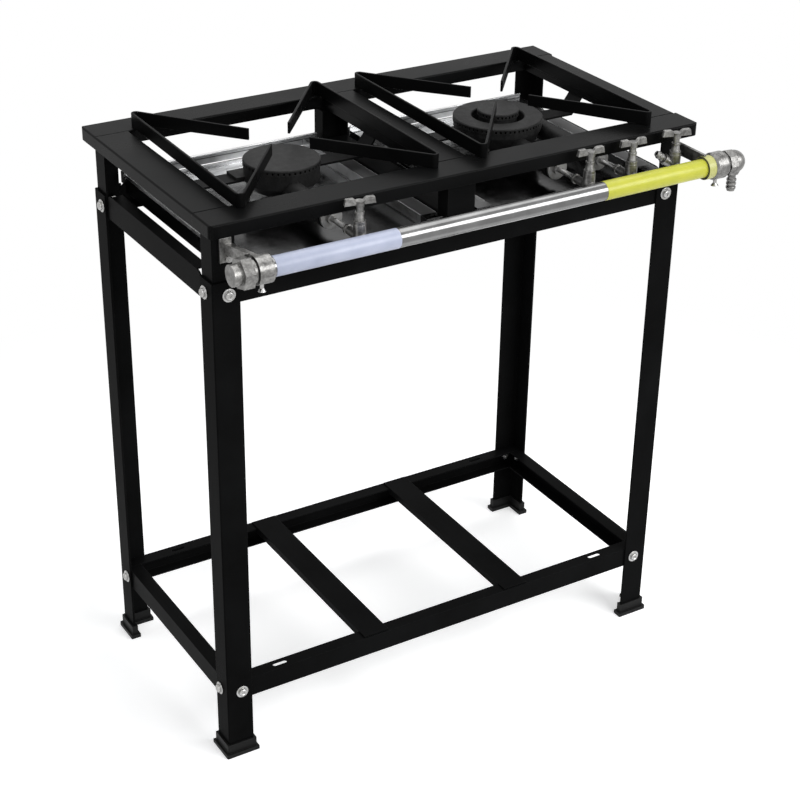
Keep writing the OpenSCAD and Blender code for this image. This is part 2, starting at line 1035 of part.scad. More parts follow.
// Round cap of radius r whose spigot drops into a bore
module burner_cap(r, bore, count) {
    difference() {
        rotate_extrude($fn = 72)
            polygon([
                [0, burner_top - cap_plate],
                [bore - spigot_w, burner_top - cap_plate],
                [bore - spigot_w, cap_z - spigot_h],
                [bore - rest_gap, cap_z - spigot_h],
                [bore - rest_gap, cap_z],
                [r, cap_z],
                [r, burner_top - cap_bevel],
                [r - cap_bevel, burner_top],
                [0, burner_top]
            ]);
        port_slots(bore - spigot_w - over, r, count);
    }
}

module single_burner_cap() {
    color(cast_black)
        translate([single_x, bay_y, 0])
            burner_cap(single_d / 2, single_bowl_r - bowl_wall, single_ports);
}

// Double burner: an annular trough round a central cup, each fed by its own venturi
double_bowl_r = double_d / 2 - bowl_inset;
trough_in = ring_hole_d / 2;
trough_edge = trough_in + bowl_wall;
cup_top = rim_z + inner_rise;
outer_x = valve_x[2];
outer_end = bay_y + hanger_front - rest_gap - bowl_wall / 2;
throat_x = right_bay_x + double_foot - bowl_wall;

module double_burner_body() {
    color(cast_black)
        difference() {
            union() {
                translate([right_bay_x, bay_y, 0]) {
                    difference() {
                        union() {
                            bowl_solid(double_bowl_r, double_foot, double_waist);
                            ears(double_bowl_r);
                        }
                        bowl_space(trough_edge, double_bowl_r, double_foot, double_waist);
                        translate([0, 0, bowl_z - over])
                            cylinder(r = trough_in, h = bowl_h + 2 * over);
                    }
                    translate([0, 0, bowl_z])
                        cylinder(d = cup_d, h = cup_top - bowl_z);
                    for (a = [45 : 90 : 315])
                        rotate([0, 0, a])
                            translate([0, -rib_w / 2, bowl_z])
                                cube([trough_in + bowl_wall / 2, rib_w, bowl_h / 2]);
                }
                venturi(valve_x[1], venturi_run);
                venturi(outer_x, outer_end - mouth_y);
                translate([throat_x, outer_end - throat_w, venturi_z - throat_h / 2])
                    cube([outer_x - throat_x, throat_w, throat_h]);
            }
            translate([right_bay_x, bay_y, bowl_z + bowl_floor])
                cylinder(d = cup_d - 2 * cup_wall, h = cup_top);
            venturi_hollow(valve_x[1], venturi_run - cup_d / 2 + cup_wall + inlet_open);
            venturi_hollow(outer_x, outer_end - throat_wall - mouth_y);
            translate([throat_x - over, outer_end - throat_w + throat_wall, 0])
                translate([0, 0, venturi_z - throat_h / 2 + throat_wall])
                    cube([
                        outer_x - throat_x,
                        throat_w - 2 * throat_wall,
                        throat_h - 2 * throat_wall
                    ]);
        }
}

module double_burner_ring() {
    r = double_d / 2;
    outer_bore = double_bowl_r - bowl_wall;
    color(cast_black)
        translate([right_bay_x, bay_y, 0])
            difference() {
                rotate_extrude($fn = 72)
                    polygon([
                        [trough_in, cap_z],
                        [trough_edge, cap_z],
                        [trough_edge, burner_top - cap_plate],
                        [outer_bore - spigot_w, burner_top - cap_plate],
                        [outer_bore - spigot_w, cap_z - spigot_h],
                        [outer_bore - rest_gap, cap_z - spigot_h],
                        [outer_bore - rest_gap, cap_z],
                        [r, cap_z],
                        [r, burner_top - cap_bevel],
                        [r - cap_bevel, burner_top],
                        [trough_in + cap_bevel, burner_top],
                        [trough_in, burner_top - cap_bevel]
                    ]);
                port_slots(outer_bore - spigot_w - over, r, ring_ports);
            }
}

module double_burner_inner_cap() {
    color(cast_black)
        translate([right_bay_x, bay_y, inner_rise])
            burner_cap(inner_d / 2, cup_d / 2 - cup_wall, inner_ports);
}

// Air shutter: a disc with a hub that runs along its injector
module air_shutter(x) {
    color(cast_grey)
        translate([x, mouth_y - shutter_gap - shutter_t, venturi_z])
            difference() {
                union() {
                    rod_y(shutter_d, shutter_t);
                    translate([0, shutter_t - hub_l, 0])
                        rod_y(hub_d, hub_l);
                }
                translate([0, shutter_t - hub_l - over, 0])
                    rod_y(injector_d + 2 * fit_gap, hub_l + 2 * over);
            }
}

module air_shutter_1() air_shutter(valve_x[0]);
module air_shutter_2() air_shutter(valve_x[1]);
module air_shutter_3() air_shutter(valve_x[2]);

// Injector: a long tube from its valve's outlet into the mouth of its venturi
injector_start = 18;
injector_l = mouth_y - valve_y - injector_start;

module injectors() {
    color(polished)
        for (i = [0 : 2])
            translate([valve_x[i], valve_y + injector_start, venturi_z]) {
                rod_y(injector_d, injector_l);
                translate([0, injector_l, 0])
                    rod_y(injector_tip_d, injector_tip_l);
            }
}

// Manifold pipe, from inside the end plug to inside the inlet elbow
pipe_start = xl + plug_face_x + plug_boss_l;
pipe_end = xl + right_ring_x + right_ring_l + elbow_gap + elbow_hex_l / 2;

module manifold_pipe() {
    color(polished)
        translate([pipe_start, pipe_y, pipe_z])
            difference() {
                rod_x(pipe_d, pipe_end - pipe_start);
                translate([-over, 0, 0])
                    rod_x(pipe_d - 2 * pipe_wall, pipe_end - pipe_start + 2 * over);
            }
}

// End plug: a hexagon cap screwed over the left end of the pipe
module end_plug() {
    color(cast_grey)
        translate([xl + plug_face_x, pipe_y, pipe_z])
            difference() {
                union() {
                    rod_x(plug_boss_d, plug_boss_l + plug_hex_l / 2);
                    translate([plug_boss_l, 0, 0])
                        rotate([plug_hex_turn, 0, 0])
                            rotate([0, 90, 0])
                                cylinder(d = plug_hex / cos(30), h = plug_hex_l, $fn = 6);
                    translate([plug_boss_l + plug_hex_l / 2, 0, 0])
                        rod_x(plug_neck_d, plug_hex_l / 2 + plug_neck_l);
                }
                translate([plug_boss_l, 0, 0])
                    rod_x(pipe_d + 2 * slip_gap, plug_bore_l);
            }
}

// Left bracket: a plate on the post, an arm and a ring round the pipe, in one casting
plate_y = yf + leg_t;
plate_z = lip_z - rest_gap - plate_h;
left_bolt_x = plate_x + plate_w - bracket_head_d / 2;
left_bolt_z = plate_z + bracket_head_d / 2;

module left_pipe_bracket() {
    arm_x = plate_x + plate_w - arm_w;
    arm_z = pipe_z + left_ring_d / 2 - arm_h;
    color(cast_grey)
        difference() {
            union() {
                translate([xl + plate_x, plate_y - plate_t, plate_z])
                    cube([plate_w, plate_t, plate_h]);
                translate([xl, 0, arm_z])
                    linear_extrude(arm_h)
                        polygon([
                            [arm_x, plate_y - plate_t / 2],
                            [arm_x + arm_w, plate_y - plate_t / 2],
                            [arm_x + arm_w + arm_shift, pipe_y],
                            [arm_x + arm_shift, pipe_y]
                        ]);
                translate([xl + left_ring_x, pipe_y, pipe_z])
                    rod_x(left_ring_d, left_ring_l);
            }
            translate([xl + left_ring_x - arm_w, pipe_y, pipe_z]) {
                rod_x(pipe_d + 2 * slip_gap, left_ring_l + arm_w + over);
                rod_x(plug_hex / cos(30) + 2 * rest_gap, arm_w);
            }
            screw_hole(left_ring_x + left_ring_l / 2, left_ring_d / 2);
            translate([xl + left_bolt_x, plate_y - plate_t - over, left_bolt_z])
                rod_y(bracket_bolt_d + 2 * hole_gap, plate_t + 2 * over);
        }
}

// Hole for a clamp screw, from below the pipe up into its ring
module screw_hole(x, r) {
    translate([xl + x, pipe_y, pipe_z - r - over])
        cylinder(d = screw_d + 2 * slip_gap, h = r);
}

// Right bracket: a strap on the post's outer side that ends in a barrel round the pipe
strap_x = xr - leg_t;
strap_z = pipe_z + right_ring_d / 2 - strap_h;
right_bolt_y = yf + bolt_inset;
right_bolt_z = strap_z + strap_h / 2;
right_screw_x = right_ring_x + (right_neck_l + right_ring_l) / 2;

module right_pipe_bracket() {
    r = right_ring_d / 2;
    x0 = xl + right_ring_x;
    color(cast_grey)
        difference() {
            union() {
                translate([strap_x, pipe_y, strap_z])
                    cube([strap_t, pipe_reach + leg_t + strap_back, strap_h]);
                translate([x0, pipe_y, pipe_z])
                    rotate([0, 90, 0])
                        rotate_extrude()
                            polygon([
                                [0, 0],
                                [right_neck_d / 2, 0],
                                [right_neck_d / 2, right_neck_l],
                                [r - ring_bulge, right_neck_l],
                                [r, right_neck_l + ring_bulge],
                                [r, right_ring_l - 2 * ring_bulge],
                                [r - ring_bulge, right_ring_l],
                                [0, right_ring_l]
                            ]);
                translate([strap_x, pipe_y, pipe_z])
                    rod_x(right_neck_d, strap_t);
            }
            translate([strap_x - over, pipe_y, pipe_z])
                rod_x(pipe_d + 2 * slip_gap, right_ring_l + strap_t + 2 * over);
            screw_hole(right_screw_x, right_ring_d / 2);
            translate([strap_x - over, right_bolt_y, right_bolt_z])
                rod_x(bracket_bolt_d + 2 * hole_gap, strap_t + 2 * over);
        }
}

// Clamp screws under both rings, and the bolt that holds each bracket to its post
module clamp_screw(x, r) {
    tip = pipe_r + slip_gap;
    translate([xl + x, pipe_y, pipe_z - r - screw_drop]) {
        cylinder(d = screw_d, h = r + screw_drop - tip);
        cylinder(d1 = screw_head_d, d2 = screw_d, h = screw_head_h);
    }
}

module bracket_screws() {
    color(zinc) {
        clamp_screw(left_ring_x + left_ring_l / 2, left_ring_d / 2);
        clamp_screw(right_screw_x, right_ring_d / 2);
        translate([xl + left_bolt_x, plate_y - plate_t - bracket_head_h, left_bolt_z]) {
            rod_y(bracket_head_d, bracket_head_h);
            rod_y(bracket_bolt_d, bracket_head_h + plate_t);
        }
        translate([strap_x + strap_t + bracket_head_h, right_bolt_y, right_bolt_z])
            mirror([1, 0, 0]) {
                rod_x(bracket_head_d, bracket_head_h);
                rod_x(bracket_bolt_d, bracket_head_h + strap_t);
            }
    }
}

// Inlet elbow: a hexagon socket on the pipe's right end, a round heel and a hose tail below
elbow_x = xl + right_ring_x + right_ring_l + elbow_gap;
tail_x = elbow_x + tail_x_shift;
tail_top = pipe_z - elbow_r - tail_step;

module inlet_elbow() {
    color(cast_grey)
        difference() {
            union() {
                translate([elbow_x, pipe_y, pipe_z])
                    rotate([0, 90, 0])
                        cylinder(d = elbow_hex / cos(22.5), h = elbow_hex_l, $fn = 8);
                translate([elbow_x, pipe_y, pipe_z])
                    rod_x(2 * elbow_r, tail_x_shift);
                translate([tail_x, pipe_y, pipe_z])
                    sphere(elbow_r);
                translate([tail_x, pipe_y, tail_top])
                    cylinder(d1 = tail_neck_d, d2 = 2 * elbow_r, h = elbow_r + tail_step);
                translate([tail_x, pipe_y, tail_top - tail_l])
                    hose_tail(tail_d, tail_l, 3);
            }
            translate([elbow_x - over, pipe_y, pipe_z])
                rod_x(pipe_d + 2 * slip_gap, elbow_hex_l + over);
            translate([elbow_x, pipe_y, pipe_z])
                rod_x(tail_d / 2, tail_x_shift);
            translate([tail_x, pipe_y, tail_top - tail_l - over])
                cylinder(d = tail_d / 2, h = tail_l + elbow_r + over);
        }
}

// Hose tail along +Z from its free end: a plain core with ridges that rise towards the body
module hose_tail(d, l, count) {
    core = d - 2 * tail_step;
    pitch = (l - tail_land) / (count + 1);
    cylinder(d = core, h = l);
    for (i = [0 : count - 1])
        translate([0, 0, i * pitch]) {
            cylinder(d1 = core - tail_step, d2 = d, h = pitch - tail_land);
            translate([0, 0, pitch - tail_land])
                cylinder(d = d, h = tail_land);
        }
}

// Places a valve part at valve i: own origin on the stem, own +Y along the outlet
module at_valve(i) {
    translate([valve_x[i], valve_y, venturi_z])
        rotate([0, 0, valve_turns[i]])
            children();
}

// Valve body: a barrel from the pipe to the outlet, with the column of the plug on top
module valve_body(i) {
    back = sqrt(pipe_r * pipe_r - (pipe_z - venturi_z) * (pipe_z - venturi_z));
    inlet = pipe_reach - valve_reach - back;
    outlet = outlet_lengths[i];
    difference() {
        union() {
            translate([0, 0, -barrel_d / 2])
                cylinder(d = column_d, h = column_h + barrel_d / 2);
            rotate([valve_tilts[i], 0, 0]) {
                rod_y(outlet_d, outlet);
                translate([0, outlet - injector_tip_l, 0])
                    rod_y(outlet_wall_d, injector_tip_l);
            }
            rotate([0, 0, -valve_turns[i]])
                translate([0, -inlet - over, 0])
                    rod_y(barrel_d, inlet + over);
        }
        translate([0, 0, column_h - plug_depth])
            cylinder(d = stem_d + 2 * fit_gap, h = plug_depth + over);
        if (valve_turns[i] == 0)
            translate([0, injector_start - slip_gap, 0])
                rod_y(injector_d + 2 * fit_gap, outlet);
        if (valve_turns[i] != 0)
            rotate([valve_tilts[i], 0, 0])
                translate([0, outlet - aux_plug_l, 0])
                    rod_y(injector_d + 2 * fit_gap, aux_plug_l + over);
        rotate([0, 0, -valve_turns[i]])
            translate([-pipe_r, valve_reach - pipe_reach, pipe_z - venturi_z])
                rod_x(pipe_d + 2 * slip_gap, pipe_d);
    }
}

module valve_bodies() {
    color(cast_grey)
        for (i = [0 : 3])
            at_valve(i)
                valve_body(i);
}

module gland_nuts() {
    color(cast_grey)
        for (i = [0 : 3])
            at_valve(i)
                translate([0, 0, column_h])
                    difference() {
                        cylinder(d = collar_d, h = collar_h);
                        translate([0, 0, -over])
                            cylinder(d = stem_d + 2 * fit_gap, h = collar_h + 2 * over);
                    }
}

// Hose tail screwed into the outlet of the auxiliary valve
module auxiliary_tail() {
    free = aux_l - outlet_lengths[3];
    whole = free + aux_plug_l - rest_gap;
    color(cast_grey)
        at_valve(3)
            rotate([valve_tilts[3], 0, 0])
                translate([0, aux_l, 0])
                    rotate([90, 0, 0])
                        difference() {
                            union() {
                                hose_tail(aux_tail_d, free, 2);
                                translate([0, 0, free - aux_collar_l])
                                    cylinder(d = aux_collar_d, h = aux_collar_l);
                                cylinder(d = injector_d, h = whole);
                            }
                            translate([0, 0, -over])
                                cylinder(d = aux_bore_d, h = whole + 2 * over);
                        }
}

// Valve handle: the plug and stem with a two-winged handle, shut when the wings lie along the pipe
wing_low = collar_h + column_h + stem_neck_h;

module valve_handle(i) {
    plug_z = column_h - plug_depth + rest_gap;
    foot_z = column_h + collar_h + rest_gap;
    color(cast_grey)
        translate([valve_x[i], valve_y, venturi_z]) {
            translate([0, 0, plug_z])
                cylinder(d = stem_d, h = wing_low - plug_z);
            translate([0, 0, foot_z])
                cylinder(d1 = stem_foot_d, d2 = stem_d, h = stem_foot_h);
            translate([0, 0, foot_z + bead_z])
                cylinder(d = bead_d, h = bead_h);
            translate([0, 0, wing_low - top_bead_h])
                cylinder(d = bead_d, h = top_bead_h + hub_rise);
            rotate([0, 0, handle_turns[i]])
                translate([0, wing_t / 2, wing_low])
                    rotate([90, 0, 0])
                        linear_extrude(wing_t)
                            wings_2d();
        }
}

// Outline of the wings: low at the stem and full height towards the tips
module wings_2d() {
    half = handle_l / 2;
    hub = bead_d / 2;
    tip_r = wing_h / 6;
    for (side = [0, 1])
        mirror([side, 0]) {
            polygon([
                [0, 0],
                [half, 0],
                [half - tip_r, wing_h - tip_r],
                [half - 2 * tip_r, wing_h],
                [hub + 2 * tip_r, wing_h],
                [hub + tip_r / 2, wing_h - tip_r],
                [hub - tip_r, hub_rise],
                [0, hub_rise]
            ]);
            translate([half - 2 * tip_r, wing_h - tip_r])
                circle(tip_r);
        }
}

module valve_handle_1() valve_handle(0);
module valve_handle_2() valve_handle(1);
module valve_handle_3() valve_handle(2);
module valve_handle_4() valve_handle(3);

top_front_rail();
top_rear_rail();
top_left_rail();
top_centre_rail();
top_right_rail();
post_front_left();
post_front_right();
post_rear_left();
post_rear_right();
centre_post_front();
centre_post_rear();
left_bay_left_bar();
left_bay_right_bar();
right_bay_left_bar();
right_bay_right_bar();
tray_runners();
left_drip_tray();
right_drip_tray();
frame_front_rail();
frame_rear_rail();
frame_left_rail();
frame_right_rail();
leg_front_left();
leg_front_right();
leg_rear_left();
leg_rear_right();
foot_caps();
shelf_front_rail();
shelf_rear_rail();
shelf_left_rail();
shelf_right_rail();
shelf_slat_left();
shelf_slat_right();
leg_bolts();
leg_nuts();
single_burner_hangers();
double_burner_hangers();
single_burner_body();
single_burner_cap();
double_burner_body();
double_burner_ring();
double_burner_inner_cap();
air_shutter_1();
air_shutter_2();
air_shutter_3();
injectors();
manifold_pipe();
end_plug();
left_pipe_bracket();
right_pipe_bracket();
bracket_screws();
inlet_elbow();
valve_bodies();
gland_nuts();
auxiliary_tail();
valve_handle_1();
valve_handle_2();
valve_handle_3();
valve_handle_4();
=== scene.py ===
"""Looks of the stock pot range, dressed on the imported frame. Lengths are in metres."""

import json
import math

import bmesh
import bpy
from mathutils import Matrix, Vector


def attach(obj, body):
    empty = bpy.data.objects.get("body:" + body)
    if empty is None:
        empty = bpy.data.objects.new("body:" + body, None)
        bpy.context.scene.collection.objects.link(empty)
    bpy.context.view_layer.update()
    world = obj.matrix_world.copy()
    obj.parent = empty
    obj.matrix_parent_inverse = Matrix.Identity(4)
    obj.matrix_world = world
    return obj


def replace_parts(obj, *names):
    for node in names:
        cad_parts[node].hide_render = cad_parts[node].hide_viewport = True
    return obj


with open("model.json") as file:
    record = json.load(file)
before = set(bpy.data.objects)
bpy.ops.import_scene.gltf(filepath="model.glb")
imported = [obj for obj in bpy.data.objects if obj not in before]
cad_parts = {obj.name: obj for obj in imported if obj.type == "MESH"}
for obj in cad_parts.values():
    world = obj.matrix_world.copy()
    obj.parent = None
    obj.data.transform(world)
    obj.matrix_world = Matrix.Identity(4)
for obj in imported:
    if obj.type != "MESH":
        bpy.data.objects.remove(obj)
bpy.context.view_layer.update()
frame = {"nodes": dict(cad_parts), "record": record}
NODES = frame["nodes"]

# Camera, solved from the stand's straight edges: sensor in millimetres, focal length in pixels
RIGHT = Vector((0.85528885, -0.51795525, 0.01425955))
UP = Vector((0.23657595, 0.41484128, 0.87860032))
BACK = Vector((-0.4609911, -0.7480836, 0.47734488))
PLACE = Vector((-1.25044, -1.99783, 1.66616))
SENSOR = 36.0
FOCAL_PX = 1822.19
IMAGE_PX = 800.0
CLIP_START, CLIP_END = 0.05, 60.0
cam_data = bpy.data.cameras.new("camera")
cam = bpy.data.objects.new("camera", cam_data)
bpy.context.scene.collection.objects.link(cam)
view = Matrix.Identity(4)
for i, axis in enumerate((RIGHT, UP, BACK, PLACE)):
    for k in range(3):
        view[k][i] = axis[k]
cam.matrix_world = view
cam_data.sensor_width = SENSOR
cam_data.lens = SENSOR * FOCAL_PX / IMAGE_PX
cam_data.clip_start = CLIP_START
cam_data.clip_end = CLIP_END
bpy.context.scene.camera = cam


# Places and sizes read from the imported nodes
def box_of(node):
    """Lowest and highest corner of a node's mesh, which is in the shared frame."""
    points = [v.co for v in NODES[node].data.vertices]
    low = Vector([min(p[k] for p in points) for k in range(3)])
    high = Vector([max(p[k] for p in points) for k in range(3)])
    return low, high


LEG_FRONT = box_of("leg_front_left")[0]
LEG_REAR = box_of("leg_rear_right")[1]
STAND_LEFT = LEG_FRONT.x
STAND_MIDDLE = (LEG_FRONT + LEG_REAR) / 2

PIPE_LOW, PIPE_HIGH = box_of("manifold_pipe")
PIPE_MIDDLE = (PIPE_LOW + PIPE_HIGH) / 2
PIPE_R = (PIPE_HIGH.z - PIPE_LOW.z) / 2

TOP_FRONT = box_of("top_front_rail")[0]
TOP_REAR = box_of("top_rear_rail")[1]
TOP_Z = TOP_REAR.z
BAY_Y = (TOP_FRONT.y + TOP_REAR.y) / 2
CENTRE_LEFT, CENTRE_RIGHT = box_of("top_centre_rail")
# Middle of each bay, between the inner edges of its short rails
BAYS = {
    "left_bay": (box_of("top_left_rail")[1].x + CENTRE_LEFT.x) / 2,
    "right_bay": (CENTRE_RIGHT.x + box_of("top_right_rail")[0].x) / 2,
}

TRAY_LOW, TRAY_HIGH = box_of("left_drip_tray")
# Height of the flat rims round a tray's sides and rear
TRAY_RIM = TRAY_HIGH.z
# Height at which a tray's floor turns up into its folded sides
FLOOR_DEPTH = 0.0017
TRAY_FLOOR = TRAY_LOW.z + FLOOR_DEPTH
# Place of a tray's front wall, which takes the floor's painted shade
FRONT_DEPTH = 0.0155
TRAY_FRONT = TRAY_LOW.y + FRONT_DEPTH
# Inner edge of the right tray's left rim, which is painted dark as the centre rail's shade
SHADED_RIM = 0.0165
RIGHT_TRAY_RIM = box_of("right_drip_tray")[0].x + SHADED_RIM


class Tree:
    """Shorthand for building one material's node tree."""

    def __init__(self, name):
        self.mat = bpy.data.materials.new(name)
        self.mat.use_nodes = True
        self.nt = self.mat.node_tree
        self.nt.nodes.clear()
        self.out = self.node("ShaderNodeOutputMaterial")
        self.bsdf = self.node("ShaderNodeBsdfPrincipled")
        self.link(self.bsdf.outputs["BSDF"], self.out.inputs["Surface"])
        self.coord = self.node("ShaderNodeTexCoord").outputs["Object"]

    def node(self, kind, **props):
        n = self.nt.nodes.new(kind)
        for k, v in props.items():
            setattr(n, k, v)
        return n

    def link(self, a, b):
        self.nt.links.new(a, b)

    def plug(self, value, socket):
        """Links another node's output to a socket, or sets the socket to a constant."""
        if hasattr(value, "is_output"):
            self.link(value, socket)
        else:
            socket.default_value = value

    def noise(self, scale, detail=2.0, rough=0.5, vector=None, distortion=0.0):
        n = self.node("ShaderNodeTexNoise")
        n.inputs["Scale"].default_value = scale
        n.inputs["Detail"].default_value = detail
        n.inputs["Roughness"].default_value = rough
        n.inputs["Distortion"].default_value = distortion
        self.link(vector or self.coord, n.inputs["Vector"])
        return n.outputs["Fac"]

    def cells(self, scale):
        """One even tone for each cell of a crystal pattern."""
        n = self.node("ShaderNodeTexVoronoi", feature="F1")
        n.inputs["Scale"].default_value = scale
        self.link(self.coord, n.inputs["Vector"])
        split = self.node("ShaderNodeSeparateColor")
        self.link(n.outputs["Color"], split.inputs["Color"])
        return split.outputs[0]

    def stretch(self, scale):
        n = self.node("ShaderNodeMapping")
        n.inputs["Scale"].default_value = scale
        self.link(self.coord, n.inputs["Vector"])
        return n.outputs["Vector"]

    def ramp(self, fac, low, high, a=0.0, b=1.0):
        """Maps fac from low..high to a..b, clamped."""
        n = self.node("ShaderNodeMapRange")
        n.inputs["From Min"].default_value = low
        n.inputs["From Max"].default_value = high
        n.inputs["To Min"].default_value = a
        n.inputs["To Max"].default_value = b
        self.link(fac, n.inputs["Value"])
        return n.outputs["Result"]

    def math(self, op, a, b=0.0):
        n = self.node("ShaderNodeMath", operation=op)
        self.plug(a, n.inputs[0])
        self.plug(b, n.inputs[1])
        return n.outputs[0]

    def times(self, a, b):
        return self.math("MULTIPLY", a, b)

    def mix(self, fac, a, b):
        n = self.node("ShaderNodeMix", data_type="RGBA")
        self.plug(fac, n.inputs["Factor"])
        self.plug(a, n.inputs["A"])
        self.plug(b, n.inputs["B"])
        return n.outputs["Result"]

    def bevel(self, radius):
        """Normal that is rounded near edges."""
        n = self.node("ShaderNodeBevel", samples=4)
        n.inputs["Radius"].default_value = radius
        return n.outputs["Normal"]

    def edges(self, radius, low=0.05, high=0.35):
        """0 on flat faces and 1 along convex and concave edges."""
        geo = self.node("ShaderNodeNewGeometry")
        dot = self.node("ShaderNodeVectorMath", operation="DOT_PRODUCT")
        self.link(self.bevel(radius), dot.inputs[0])
        self.link(geo.outputs["Normal"], dot.inputs[1])
        return self.ramp(self.math("SUBTRACT", 1.0, dot.outputs["Value"]), low, high)

    def bump(self, height, distance, strength, radius=0.0):
        n = self.node("ShaderNodeBump")
        n.inputs["Distance"].default_value = distance
        n.inputs["Strength"].default_value = strength
        self.link(height, n.inputs["Height"])
        if radius:
            self.link(self.bevel(radius), n.inputs["Normal"])
        self.link(n.outputs["Normal"], self.bsdf.inputs["Normal"])

    def set(self, **values):
        names = {
            "color": "Base Color",
            "metal": "Metallic",
            "rough": "Roughness",
            "spec": "Specular IOR Level",
        }
        for k, v in values.items():
            self.plug(v, self.bsdf.inputs[names[k]])


def grey(v, cool=0.0):
    return (v * (1 - cool), v, v * (1 + cool), 1.0)


def enamel(name, base, rough, spec, edge):
    """Black stove enamel: uneven gloss, fine orange peel, and edges painted paler as painted
    highlight and wear.
    """
    t = Tree(name)
    cloud = t.noise(scale=9.0, detail=4.0, rough=0.55)
    fine = t.noise(scale=420.0)
    patchy = t.ramp(t.noise(scale=60.0, detail=3.0), 0.35, 0.65, 0.3, 1.0)
    # Painted highlight and wear: edges turn paler in patches
    rim = t.times(t.edges(radius=0.0009), patchy)
    body = t.mix(t.ramp(cloud, 0.3, 0.7), grey(base * 0.7), grey(base * 1.3, cool=0.03))
    t.set(color=t.mix(rim, body, grey(edge)), rough=t.ramp(cloud, 0.3, 0.7, *rough), spec=spec)
    peel = t.math("ADD", t.times(cloud, 2.0), fine)
    t.bump(peel, distance=0.00004, strength=0.5, radius=0.0008)
    return t.mat


def cast(name, dark, light, edge, metal, rough, grain, depth, spec=0.5):
    """Rough casting: grainy skin, cloudy tone and rubbed edges."""
    t = Tree(name)
    grit = t.noise(scale=grain, detail=5.0, rough=0.65)
    cloud = t.noise(scale=90.0, detail=4.0, rough=0.6)
    both = t.math("ADD", t.times(grit, 0.45), t.times(cloud, 0.55))
    body = t.mix(t.ramp(both, 0.38, 0.62), dark, light)
    rim = t.times(t.edges(radius=0.0008), t.ramp(cloud, 0.35, 0.6, 0.3, 1.0))
    tone = t.mix(rim, body, edge)
    t.set(color=tone, metal=metal, rough=t.ramp(cloud, 0.3, 0.7, *rough), spec=spec)
    t.bump(grit, distance=depth, strength=0.8, radius=0.0006)
    return t.mat


def galvanised(name):
    """Zinc-coated sheet: bright folds, flat rims painted dark with a painted highlight along
    their edges, and a floor painted dark towards the front as painted shade and reflection of the
    parts above it.
    """
    rim_half, rim_soft, fold_rise, wall_soft = 0.0005, 0.0004, 0.0015, 0.002
    t = Tree(name)
    spangle = t.cells(scale=90.0)
    cloud = t.noise(scale=6.0, detail=4.0, rough=0.6, distortion=0.8)
    lines = t.noise(scale=9.0, detail=4.0, rough=0.55, vector=t.stretch((1.0, 22.0, 1.0)))
    place = t.node("ShaderNodeSeparateXYZ")
    t.link(t.coord, place.inputs[0])
    x, y, z = (place.outputs[axis] for axis in "XYZ")
    # Painted shade: the floor's colour darkens towards the front, in place of the shade and dark
    # reflection of the rail and burner above it
    painted_shade_reach = t.math("ADD", y, t.times(t.math("SUBTRACT", cloud, 0.5), 0.25))
    floor_tone_with_painted_shade = t.mix(t.ramp(painted_shade_reach, -0.03, 0.11), grey(0.055, cool=0.01), grey(0.40, cool=0.01))
    tone = t.math("ADD", t.times(spangle, 0.2), t.times(cloud, 0.8))
    side_tone = t.mix(t.ramp(tone, 0.3, 0.7), grey(0.40, cool=0.01), grey(0.60, cool=0.01))
    # Painted shade and highlight: the flat rims are dark, with light lines painted along their
    # edges
    rim_edge_highlight = t.edges(radius=0.0018, low=0.02, high=0.22)
    rim_painted_shade_and_highlight = t.mix(rim_edge_highlight, grey(0.13, cool=0.01), grey(0.78, cool=0.01))
    low, high = TRAY_RIM - rim_half, TRAY_RIM + rim_half
    rim = t.times(t.ramp(z, low - rim_soft, low), t.ramp(z, high, high + rim_soft, 1.0, 0.0))
    fold_tone = t.mix(rim, side_tone, rim_painted_shade_and_highlight)
    # The front wall and the right tray's left rim keep the floor's colour, so the painted shade
    # covers them too
    raised = t.ramp(z, TRAY_FLOOR, TRAY_FLOOR + fold_rise)
    behind = t.ramp(y, TRAY_FRONT, TRAY_FRONT + wall_soft)
    beside = t.ramp(t.math("ABSOLUTE", x), RIGHT_TRAY_RIM, RIGHT_TRAY_RIM + wall_soft)
    fold = t.times(t.times(raised, behind), beside)
    gloss = t.math("ADD", t.ramp(tone, 0.25, 0.75, 0.10, 0.24), t.times(fold, 0.16))
    t.set(color=t.mix(fold, floor_tone_with_painted_shade, fold_tone), metal=1.0, rough=gloss)
    dents = t.math("ADD", lines, t.times(cloud, 3.0))
    t.bump(dents, distance=0.00014, strength=0.5, radius=0.0006)
    return t.mat


def tube(name):
    """Polished steel tube: drawing lines along it and faint handling marks."""
    t = Tree(name)
    draw = t.noise(scale=30.0, detail=3.0, rough=0.6, vector=t.stretch((1.0, 26.0, 26.0)))
    smear = t.noise(scale=26.0, detail=4.0, rough=0.6)
    tone = t.mix(t.ramp(smear, 0.35, 0.65), grey(0.165), grey(0.215))
    t.set(color=tone, metal=1.0, rough=t.ramp(smear, 0.3, 0.7, 0.13, 0.20))
    t.bump(draw, distance=0.00002, strength=0.6)
    return t.mat


def zinc(name, base, rough):
    """Bright zinc plate on turned or stamped pieces."""
    t = Tree(name)
    smear = t.noise(scale=160.0, detail=4.0, rough=0.6)
    warm = (base * 0.72, base * 0.71, base * 0.68, 1.0)
    body = t.mix(t.ramp(smear, 0.35, 0.65), warm, grey(base))
    tone = t.mix(t.edges(radius=0.0006), body, grey(base * 1.2))
    t.set(color=tone, metal=1.0, rough=t.ramp(smear, 0.3, 0.7, *rough))
    t.bump(smear, distance=0.00004, strength=0.6, radius=0.0005)
    return t.mat


def plastic(name):
    """Black moulded feet and end caps, scuffed along the edges."""
    t = Tree(name)
    grain = t.noise(scale=600.0, detail=3.0)
    cloud = t.noise(scale=30.0, detail=3.0)
    tone = t.mix(t.edges(radius=0.0012), grey(0.006), grey(0.020))
    t.set(color=tone, rough=t.ramp(cloud, 0.3, 0.7, 0.42, 0.58), spec=0.12)
    t.bump(grain, distance=0.00008, strength=0.6, radius=0.0008)
    return t.mat


